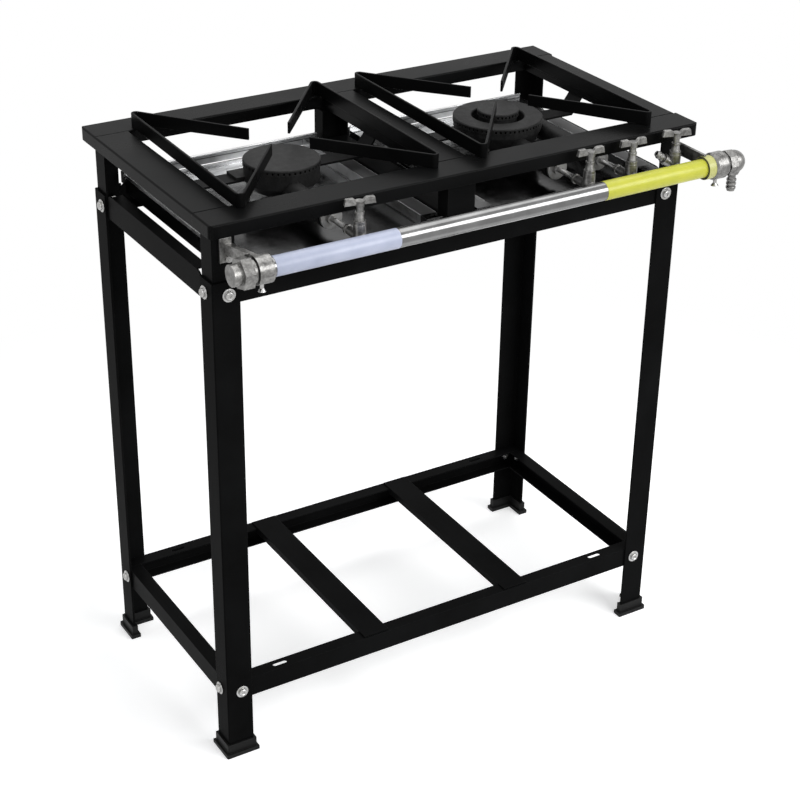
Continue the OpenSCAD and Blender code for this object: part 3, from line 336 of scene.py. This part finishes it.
def film(name, base, dark):
    """Plain film wrapped round the pipe, slightly creased."""
    t = Tree(name)
    cloud = t.noise(scale=40.0, detail=4.0, rough=0.6)
    crease = t.noise(scale=14.0, detail=3.0, vector=t.stretch((1.0, 9.0, 9.0)))
    tone = t.mix(t.ramp(cloud, 0.35, 0.7), base, dark)
    t.set(color=tone, rough=t.ramp(cloud, 0.3, 0.7, 0.30, 0.42), spec=0.4)
    t.bump(t.math("ADD", cloud, crease), distance=0.00015, strength=0.4)
    return t.mat


# Looks of the slots that the record names
# Each enamel's edge tone is painted highlight and wear along its edges
ENAMELS = {
    "top_enamel": {"base": 0.0040, "rough": (0.24, 0.36), "spec": 0.034, "edge": 0.020},
    "pan_bar_enamel": {"base": 0.0038, "rough": (0.26, 0.40), "spec": 0.030, "edge": 0.014},
    "leg_enamel": {"base": 0.0052, "rough": (0.26, 0.40), "spec": 0.006, "edge": 0.018},
    "frame_enamel": {"base": 0.0050, "rough": (0.26, 0.40), "spec": 0.010, "edge": 0.022},
    "hanger_steel": {"base": 0.0060, "rough": (0.35, 0.50), "spec": 0.060, "edge": 0.020},
}
ZINCS = {
    "zinc_fasteners": {"base": 0.50, "rough": (0.22, 0.36)},
    "shutter_zinc": {"base": 0.38, "rough": (0.32, 0.50)},
    "injector_metal": {"base": 0.42, "rough": (0.22, 0.36)},
}
CASTINGS = {
    "burner_iron": {
        "dark": grey(0.005),
        "light": grey(0.015),
        "edge": grey(0.035),
        "metal": 0.0,
        "rough": (0.42, 0.62),
        "grain": 520.0,
        "depth": 0.00020,
        "spec": 0.14,
    },
    "cast_fittings": {
        "dark": (0.105, 0.103, 0.100, 1.0),
        "light": (0.300, 0.297, 0.288, 1.0),
        "edge": (0.420, 0.415, 0.400, 1.0),
        "metal": 0.9,
        "rough": (0.28, 0.44),
        "grain": 300.0,
        "depth": 0.00022,
    },
}
MATS = {name: enamel(name, **looks) for name, looks in ENAMELS.items()}
MATS.update({name: zinc(name, **looks) for name, looks in ZINCS.items()})
MATS.update({name: cast(name, **looks) for name, looks in CASTINGS.items()})
MATS["galvanised_sheet"] = galvanised("galvanised_sheet")
MATS["black_plastic"] = plastic("black_plastic")
MATS["pipe_steel"] = tube("pipe_steel")
FILM_WHITE = film("film_white", base=(0.40, 0.43, 0.54, 1.0), dark=(0.34, 0.37, 0.48, 1.0))
FILM_YELLOW = film("film_yellow", base=(0.46, 0.46, 0.045, 1.0), dark=(0.39, 0.40, 0.035, 1.0))
FILM_PALE = film("film_pale", base=(0.44, 0.44, 0.16, 1.0), dark=(0.37, 0.37, 0.12, 1.0))

slot_of = {s["node"]: s["material_slot"] for s in frame["record"]["subparts"]}
for name, obj in NODES.items():
    obj.data.materials.clear()
    obj.data.materials.append(MATS[slot_of[name]])


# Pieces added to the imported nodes
ROOT = "range_stand"


def add_mesh(name, bm, mat, body=ROOT):
    bmesh.ops.recalc_face_normals(bm, faces=bm.faces)
    me = bpy.data.meshes.new(name)
    bm.to_mesh(me)
    bm.free()
    me.materials.append(mat)
    obj = bpy.data.objects.new(name, me)
    bpy.context.scene.collection.objects.link(obj)
    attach(obj, body)
    return obj


def skin(bm, rings, caps=True, smooth=True):
    """Joins closed rings of points into one surface, with flat ends."""
    loops = [[bm.verts.new(p) for p in ring] for ring in rings]
    n = len(loops[0])
    for a, b in zip(loops, loops[1:]):
        for i in range(n):
            f = bm.faces.new((a[i], a[(i + 1) % n], b[(i + 1) % n], b[i]))
            f.smooth = smooth
    if caps:
        bm.faces.new(loops[0])
        bm.faces.new(loops[-1])


# Film bands round the pipe, and a narrow one round the neck of its right fitting
FILM_T, FILM_SOFT, FILM_GAP, FILM_SIDES = 0.0003, 0.0004, 0.00002, 72
FILM_EDGE_SHARE = 0.6
NECK_R = 0.016
# Start and end from the stand's left side, radius inside, and material
BANDS = {
    "film_band_white": (0.0575, 0.2320, PIPE_R, FILM_WHITE),
    "film_band_yellow": (0.5510, 0.7205, PIPE_R, FILM_YELLOW),
    "film_band_neck": (0.7202, 0.7328, NECK_R, FILM_PALE),
}


def band(name, x0, x1, radius, mat):
    """Closed thin sleeve with softened rims."""
    outside, rim, inside = radius + FILM_T, radius + FILM_T * FILM_EDGE_SHARE, radius + FILM_GAP
    outline = [
        (x0, inside),
        (x0, rim),
        (x0 + FILM_SOFT, outside),
        (x1 - FILM_SOFT, outside),
        (x1, rim),
        (x1, inside),
        (x0, inside),
    ]
    rings = []
    for x, r in outline:
        turns = [2 * math.pi * i / FILM_SIDES for i in range(FILM_SIDES)]
        middle_y, middle_z = PIPE_MIDDLE.yz
        rings.append([(x, middle_y + r * math.cos(a), middle_z + r * math.sin(a)) for a in turns])
    bm = bmesh.new()
    skin(bm, rings, caps=False)
    bmesh.ops.remove_doubles(bm, verts=bm.verts, dist=1e-7)
    add_mesh(name, bm, mat)


for name, (start, end, radius, mat) in BANDS.items():
    band(name, STAND_LEFT + start, STAND_LEFT + end, radius, mat)

# Pan bars: flat bar on edge with tight bends, each finger a little higher at its tip
BAR_H, BAR_T = 0.019, 0.0034
BEND_R, BEND_STEPS = 0.0050, 9
TIP_RISE = 0.003
FINGER_SHARES = (0.03, 0.25, 0.5, 0.75, 1.0)
ROUND, ROUND_SHARE = 0.0006, 0.3
# Each bar's front and rear end, from the middle of its bay outwards and along the bar:
# the long side's offset, the bend's reach, and the finger tip's two distances
BARS = {
    ("left_bay", "left"): ((0.1440, 0.1665, 0.0289, 0.0314), (0.1380, 0.1700, 0.0280, 0.0340)),
    ("left_bay", "right"): ((0.1446, 0.1690, 0.0280, 0.0340), (0.1456, 0.1645, 0.0300, 0.0293)),
    ("right_bay", "left"): ((0.1389, 0.1674, 0.0280, 0.0340), (0.1380, 0.1700, 0.0250, 0.0340)),
    ("right_bay", "right"): ((0.1380, 0.1740, 0.0280, 0.0340), (0.1380, 0.1590, 0.0280, 0.0340)),
}


def bar_end(out, reach, tip_out, tip_along):
    """Centre line of one bend and its finger, from the long side to the tip."""
    turn_x, turn_y = BEND_R - out, reach - BAR_T / 2 - BEND_R
    dx, dy = -tip_out - turn_x, tip_along - turn_y
    heading = math.atan2(dy, dx) - math.asin(BEND_R / math.hypot(dx, dy))
    turn = math.pi / 2 - heading
    line = []
    for i in range(BEND_STEPS + 1):
        a = math.pi - turn * i / BEND_STEPS
        line.append((turn_x + BEND_R * math.cos(a), turn_y + BEND_R * math.sin(a), 0.0))
    root = Vector(line[-1][:2])
    tip = Vector((-tip_out, tip_along))
    for share in FINGER_SHARES:
        p = root.lerp(tip, share)
        line.append((p.x, p.y, TIP_RISE * share))
    return line


def bar_ring(p, ahead, low):
    """Section of the bar at p: a tall rectangle with rounded corners."""
    across = Vector((-ahead.y, ahead.x))
    corner = [(0.0, ROUND), (ROUND_SHARE * ROUND, ROUND_SHARE * ROUND), (ROUND, 0.0)]
    corners = (
        (1, low, 1, corner[::-1]),
        (1, BAR_H, -1, corner),
        (-1, BAR_H, -1, corner[::-1]),
        (-1, low, 1, corner),
    )
    shape = []
    for side, z, inwards, points in corners:
        for inset, rise in points:
            q = p + across * side * (BAR_T / 2 - inset)
            shape.append((q.x, q.y, z + inwards * rise))
    return shape


def pan_bar(bay, side):
    """One bent bar, with its own two ends, in the place of the frame's plain one."""
    flip = -1 if side == "right" else 1
    front, rear = BARS[(bay, side)]
    rear_end = bar_end(*rear)
    front_end = [(x, -y, z) for x, y, z in bar_end(*front)]
    line = front_end[::-1] + rear_end
    rings = []
    for i, (x, y, low) in enumerate(line):
        a = Vector(line[max(i - 1, 0)][:2])
        b = Vector(line[min(i + 1, len(line) - 1)][:2])
        ring = bar_ring(Vector((x, y)), (b - a).normalized(), low)
        rings.append([(BAYS[bay] + flip * px, BAY_Y + py, TOP_Z + pz) for px, py, pz in ring])
    bm = bmesh.new()
    skin(bm, rings, smooth=False)
    name = f"{bay}_{side}_bar"
    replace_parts(add_mesh("bent_" + name, bm, MATS["pan_bar_enamel"]), name)
    return front_end, rear_end


# Weld beads on both sides of each finger's foot
WELD_LENGTH, WELD_R, WELD_START, WELD_RISE = 0.012, 0.0017, 0.008, 0.0006
WELD_STEPS, WELD_SIDES = 16, 10
WELD_END_SHARE, WELD_HEIGHT_SHARE, WELD_TAPER = 0.03, 0.62, 0.45
LUMP_SHARE, LUMP_WAVES = 0.16, 5.5


def weld(bm, start, ahead, seed):
    """Short lumpy bead laid along the foot of a bar."""
    across = Vector((-ahead.y, ahead.x, 0))
    rings = []
    for i in range(WELD_STEPS + 1):
        share = i / WELD_STEPS
        inner = min(max(share, WELD_END_SHARE), 1 - WELD_END_SHARE)
        taper = math.sin(math.pi * inner) ** WELD_TAPER
        r = WELD_R * taper * (1 + LUMP_SHARE * math.sin(LUMP_WAVES * math.pi * share + seed))
        centre = start + ahead * WELD_LENGTH * share
        ring = []
        for k in range(WELD_SIDES):
            a = 2 * math.pi * k / WELD_SIDES
            up = Vector((0, 0, WELD_HEIGHT_SHARE * r * math.sin(a)))
            ring.append(centre + across * r * math.cos(a) + up)
        rings.append(ring)
    skin(bm, rings)


def bar_welds(bm, bay, side, seed, end):
    """The two beads of one finger. The higher seed lies nearer the middle of the bay."""
    flip = -1 if side == "right" else 1
    root, tip = Vector(end[BEND_STEPS + 1]), Vector(end[-1])
    ahead = Vector((flip * (tip.x - root.x), tip.y - root.y, 0)).normalized()
    foot = Vector((BAYS[bay] + flip * root.x, BAY_Y + root.y, TOP_Z + WELD_RISE))
    foot += ahead * WELD_START
    across = Vector((-ahead.y, ahead.x, 0))
    if (Vector((BAYS[bay], BAY_Y, 0)) - foot).dot(across) < 0:
        across.negate()
    for s in (1, -1):
        weld(bm, foot + across * s * (BAR_T / 2), ahead, seed + 2 * s)


welds = bmesh.new()
for bay, side in BARS:
    for seed, end in enumerate(pan_bar(bay, side)):
        bar_welds(welds, bay, side, seed, end)
for f in welds.faces:
    f.smooth = True
add_mesh("pan_bar_welds", welds, MATS["pan_bar_enamel"])

# Channel between the two trays, from one centre post to the other, open downwards
RUNNER_INSET, RUNNER_FRONT_GAP, RUNNER_REAR_GAP = 0.0015, 0.0003, 0.0002
RUNNER_DROP, RUNNER_HANG = 0.0030, 0.0023
RUNNER_T, RUNNER_R, RUNNER_STEPS = 0.0015, 0.0025, 4
RUNNER_TOP, RUNNER_LIP = TRAY_RIM - RUNNER_DROP, TRAY_LOW.z - RUNNER_HANG


def runner_outline(x0, x1):
    """Section of the channel in x and z: outside over the top, then back inside."""
    outside, inside = [(x0, RUNNER_LIP)], [(x0 + RUNNER_T, RUNNER_LIP)]
    for cx, start in ((x0 + RUNNER_R, math.pi), (x1 - RUNNER_R, math.pi / 2)):
        for i in range(RUNNER_STEPS + 1):
            a = start - math.pi / 2 * i / RUNNER_STEPS
            for points, r in ((outside, RUNNER_R), (inside, RUNNER_R - RUNNER_T)):
                points.append((cx + r * math.cos(a), RUNNER_TOP - RUNNER_R + r * math.sin(a)))
    outside.append((x1, RUNNER_LIP))
    inside.append((x1 - RUNNER_T, RUNNER_LIP))
    return outside + inside[::-1]


def centre_runner():
    low, high = box_of("centre_post_front")
    outline = runner_outline(low.x + RUNNER_INSET, high.x - RUNNER_INSET)
    front = high.y + RUNNER_FRONT_GAP
    rear = box_of("centre_post_rear")[0].y - RUNNER_REAR_GAP
    bm = bmesh.new()
    skin(bm, [[(x, y, z) for x, z in outline] for y in (front, rear)], smooth=False)
    add_mesh("centre_runner", bm, MATS["frame_enamel"])


centre_runner()

# Folded lips that stand up from the trays' rear walls
LIP_RISE, LIP_SINK = 0.0070, 0.0085
LIP_SHEET, LIP_SHIFT, LIP_INSET = 0.0010, 0.0001, 0.0006
HEM_R, HEM_STEPS, HEM_TURN, HEM_END_SHARE = 0.0014, 10, math.radians(270), 2.3


def lip_outline(rear, base, top):
    """Section in y and z: a thin upright sheet whose top edge is rolled forwards."""
    line = [(rear, base), (rear, top - HEM_R)]
    for i in range(1, HEM_STEPS + 1):
        a = HEM_TURN * i / HEM_STEPS
        line.append((rear - HEM_R + HEM_R * math.cos(a), top - HEM_R + HEM_R * math.sin(a)))
    front = rear - LIP_SHEET
    return line + [(front, top - HEM_END_SHARE * HEM_R), (front, base)]


def tray_lip(side):
    low, high = box_of(side + "_drip_tray")
    outline = lip_outline(high.y - LIP_SHIFT, TRAY_RIM - LIP_SINK, TRAY_RIM + LIP_RISE)
    ends = (low.x + LIP_INSET, high.x - LIP_INSET)
    bm = bmesh.new()
    skin(bm, [[(x, y, z) for y, z in outline] for x in ends], smooth=False)
    name, tray = side + "_tray_rear_lip", side + "_tray"
    add_mesh(name, bm, MATS["galvanised_sheet"], tray)


for side in ("left", "right"):
    tray_lip(side)

# Leg bolts: washer, domed head with a socket, and a shank with its thread
WASHER_R, WASHER_T = 0.0090, 0.0015
HEAD_R, HEAD_TOP = 0.0060, 0.0057
SOCKET_TOP, SOCKET_FLOOR = 0.0055, 0.0036
SHANK_R, THREAD_DEPTH, PITCH, THREADS = 0.003, 0.0003, 0.001, 6
BOLT_SIDES = 36
SLACK = 1e-5


def bolt_outline(depth):
    """Radius and height above the leg, from the shank's end out to the socket's floor."""
    line = [(0.0022, -depth), (SHANK_R, -depth + 0.0008)]
    for i in range(THREADS):
        u = -depth + 0.0012 + PITCH * i
        line += [(SHANK_R, u), (SHANK_R - THREAD_DEPTH, u + PITCH / 2)]
    line += [
        (SHANK_R, -0.0005),
        (SHANK_R, 0.0),
        (0.0088, 0.0),
        (WASHER_R, 0.0002),
        (WASHER_R, 0.0012),
        (0.0086, WASHER_T),
        (0.0066, WASHER_T),
        (0.0062, WASHER_T - 0.0003),
        (0.0058, WASHER_T),
        (HEAD_R, 0.0022),
        (HEAD_R, 0.0034),
        (0.0055, 0.0045),
        (0.0046, 0.0053),
        (0.0035, HEAD_TOP),
        (0.0029, SOCKET_TOP),
        (0.0026, SOCKET_FLOOR),
    ]
    return line


def islands(mesh):
    """Boxes of a mesh's loose parts."""
    boss = list(range(len(mesh.vertices)))

    def find(i):
        while boss[i] != i:
            boss[i] = boss[boss[i]]
            i = boss[i]
        return i

    for e in mesh.edges:
        a, b = find(e.vertices[0]), find(e.vertices[1])
        boss[max(a, b)] = min(a, b)
    groups = {}
    for v in mesh.vertices:
        groups.setdefault(find(v.index), []).append(v.co)
    boxes = []
    for _, points in sorted(groups.items()):
        spans = [[p[k] for p in points] for k in range(3)]
        boxes.append(([min(span) for span in spans], [max(span) for span in spans]))
    return boxes


def joined(boxes):
    """Merges boxes that overlap, so that each bolt gives one."""
    done = []
    for low, high in boxes:
        for least, most in done:
            if all(low[k] <= most[k] + SLACK and high[k] >= least[k] - SLACK for k in range(3)):
                for k in range(3):
                    least[k] = min(least[k], low[k])
                    most[k] = max(most[k], high[k])
                break
        else:
            done.append(([*low], [*high]))
    return done


def socket_bolt(bm, low, high):
    """One bolt in the box of the plain one, with its head away from the stand's middle."""
    mid = [(low[k] + high[k]) / 2 for k in range(3)]
    out = int(high[1] - low[1] > high[0] - low[0])
    side = 1 - out
    sign = 1 if mid[out] > STAND_MIDDLE[out] else -1
    face = (high[out] if sign > 0 else low[out]) - sign * HEAD_TOP
    rings = []
    for r, u in bolt_outline(high[out] - low[out] - HEAD_TOP):
        ring = []
        for i in range(BOLT_SIDES):
            a = 2 * math.pi * i / BOLT_SIDES
            hexagon = math.cos(math.pi / 6) / math.cos((a % (math.pi / 3)) - math.pi / 6)
            reach = r * hexagon if u in (SOCKET_TOP, SOCKET_FLOOR) else r
            p = [0.0, 0.0, mid[2] + reach * math.sin(a)]
            p[out] = face + sign * u
            p[side] = mid[side] + reach * math.cos(a)
            ring.append(p)
        rings.append(ring)
    skin(bm, rings)


bolts = bmesh.new()
for low, high in joined(islands(NODES["leg_bolts"].data)):
    socket_bolt(bolts, low, high)
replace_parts(add_mesh("socket_bolts", bolts, MATS["zinc_fasteners"]), "leg_bolts")


# Floor, background and lights
def seen_directly(nt):
    """1 for camera, glossy and transmission rays, 0 for those that light the object."""
    path = nt.nodes.new("ShaderNodeLightPath")
    total = path.outputs["Is Camera Ray"]
    for other in ("Is Glossy Ray", "Is Transmission Ray"):
        add = nt.nodes.new("ShaderNodeMath")
        add.operation = "ADD"
        add.use_clamp = True
        nt.links.new(total, add.inputs[0])
        nt.links.new(path.outputs[other], add.inputs[1])
        total = add.outputs[0]
    return total


def shader(nt, kind, color, strength=None):
    n = nt.nodes.new(kind)
    n.inputs["Color"].default_value = color
    if strength is not None:
        n.inputs["Strength"].default_value = strength
    return n.outputs[0]


def blend(nt, fac, a, b):
    n = nt.nodes.new("ShaderNodeMixShader")
    nt.links.new(fac, n.inputs[0])
    nt.links.new(a, n.inputs[1])
    nt.links.new(b, n.inputs[2])
    return n.outputs[0]


WHITE = (1.0, 1.0, 1.0, 1.0)
SKY = (0.96, 0.98, 1.0, 1.0)
AMBIENT = 0.36
FLOOR_TONE = (0.93, 0.93, 0.93, 1.0)
FLOOR_HALF = 8.0
# The floor shows its shadows near the stand and fades to white further out
NEAR_R, FAR_R = 0.55, 1.25
NEAR_GLOW = 0.42


def sky():
    world = bpy.data.worlds.new("studio")
    bpy.context.scene.world = world
    world.use_nodes = True
    nt = world.node_tree
    nt.nodes.clear()
    dim = shader(nt, "ShaderNodeBackground", SKY, AMBIENT)
    bright = shader(nt, "ShaderNodeBackground", WHITE, 1.0)
    out = nt.nodes.new("ShaderNodeOutputWorld")
    nt.links.new(blend(nt, seen_directly(nt), dim, bright), out.inputs["Surface"])


def floor_material():
    mat = bpy.data.materials.new("studio_floor")
    mat.use_nodes = True
    nt = mat.node_tree
    nt.nodes.clear()
    matte = shader(nt, "ShaderNodeBsdfDiffuse", FLOOR_TONE)
    glow = shader(nt, "ShaderNodeEmission", WHITE, NEAR_GLOW)
    pure = shader(nt, "ShaderNodeEmission", WHITE, 1.0)
    lit = nt.nodes.new("ShaderNodeAddShader")
    nt.links.new(matte, lit.inputs[0])
    nt.links.new(glow, lit.inputs[1])
    where = nt.nodes.new("ShaderNodeTexCoord").outputs["Object"]
    far = nt.nodes.new("ShaderNodeVectorMath")
    far.operation = "LENGTH"
    nt.links.new(where, far.inputs[0])
    fade = nt.nodes.new("ShaderNodeMapRange")
    fade.interpolation_type = "SMOOTHSTEP"
    fade.inputs["From Min"].default_value = NEAR_R
    fade.inputs["From Max"].default_value = FAR_R
    nt.links.new(far.outputs["Value"], fade.inputs["Value"])
    shown = blend(nt, fade.outputs["Result"], lit.outputs[0], pure)
    out = nt.nodes.new("ShaderNodeOutputMaterial")
    nt.links.new(blend(nt, seen_directly(nt), matte, shown), out.inputs["Surface"])
    return mat


def ground():
    bm = bmesh.new()
    bmesh.ops.create_grid(bm, x_segments=2, y_segments=2, size=FLOOR_HALF)
    me = bpy.data.meshes.new("studio_floor")
    bm.to_mesh(me)
    bm.free()
    me.materials.append(floor_material())
    floor = bpy.data.objects.new("studio_floor", me)
    bpy.context.scene.collection.objects.link(floor)


def area(name, place, target, size, power):
    data = bpy.data.lights.new(name, "AREA")
    data.shape = "RECTANGLE"
    data.size, data.size_y = size
    data.energy = power
    obj = bpy.data.objects.new(name, data)
    bpy.context.scene.collection.objects.link(obj)
    obj.location = place
    aim = Vector(target) - Vector(place)
    obj.rotation_euler = aim.to_track_quat("-Z", "Y").to_euler()


sky()
ground()
# The strip's mirror image is the white line along the pipe
area("strip", place=(1.25, -2.25, 1.95), target=(0.1, -0.2, 0.7), size=(2.6, 1.3), power=70)
area("key", place=(-1.6, -1.9, 2.6), target=(0, 0, 0.5), size=(1.4, 1.4), power=14)
area("top", place=(0.3, 0.4, 2.6), target=(0, 0, 0.7), size=(2.2, 1.8), power=26)

bpy.context.scene.view_settings.view_transform = "Standard"
